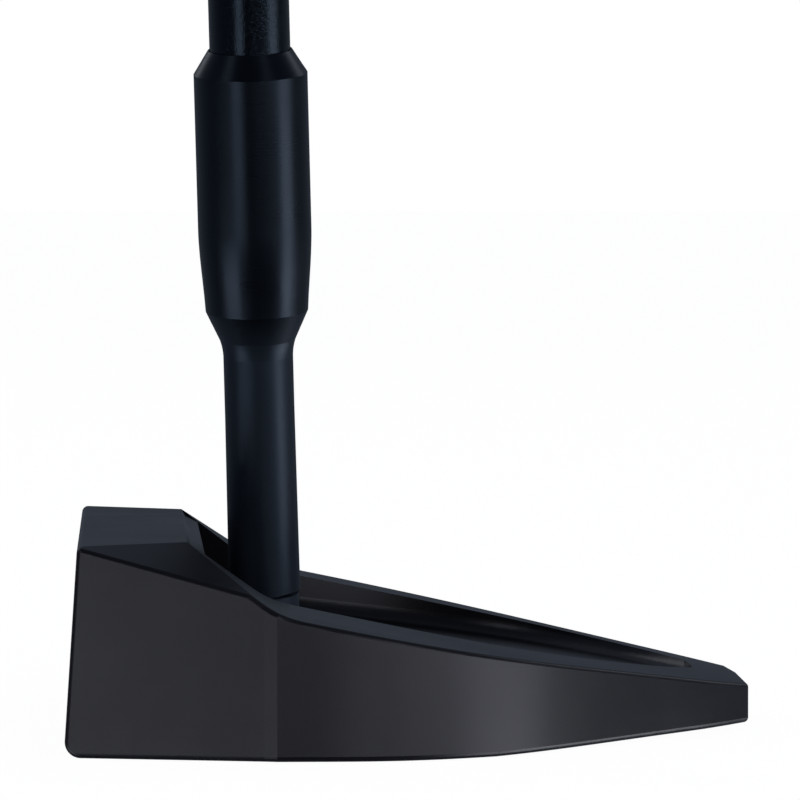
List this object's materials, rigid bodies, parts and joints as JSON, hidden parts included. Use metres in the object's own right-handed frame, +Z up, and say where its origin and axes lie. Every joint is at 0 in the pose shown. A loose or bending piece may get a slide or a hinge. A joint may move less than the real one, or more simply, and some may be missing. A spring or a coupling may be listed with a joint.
{
  "type": "blade putter",
  "caption": "Right-handed golf putter with a wedge-shaped milled head on a flat sole, a turned hosel sleeve, a tapered shaft and a flat-fronted grip.",
  "frame": {"origin": "on the flat sole, in the head's centre plane, 12 mm behind the leading edge", "axes": "+X back from the face to the tail, +Y towards the toe, +Z up from the sole"},
  "size_m": [0.0958, 0.221, 0.8528],
  "materials": {
    "head": "black anodised, fine machining lines",
    "insert": "black anodised, milled grooves",
    "bond": "cured adhesive film",
    "weight": "blackened steel",
    "pad": "thin rubber",
    "screw": "black oxide",
    "post": "blued black steel",
    "sleeve": "satin black anodised, turned",
    "plug": "moulded nylon",
    "shaft": "gloss black paint with a light orange-peel texture",
    "tape": "double-sided paper tape",
    "grip": "matt moulded rubber"
  },
  "bodies": {
    "root": {"head_body": "head", "face_insert": "insert", "insert_bond": "bond", "heel_weight": "weight", "toe_weight": "weight", "rear_weight": "weight", "weight_pads": "pad", "weight_screws": "screw", "hosel_post": "post", "hosel_bolt": "screw", "hosel_washer": "screw", "post_bond": "bond", "hosel_sleeve": "sleeve", "shaft_bond": "bond", "tip_plug": "plug", "shaft": "shaft", "grip_tape": "tape", "grip": "grip", "grip_cap": "grip"}
  },
  "joints": []
}
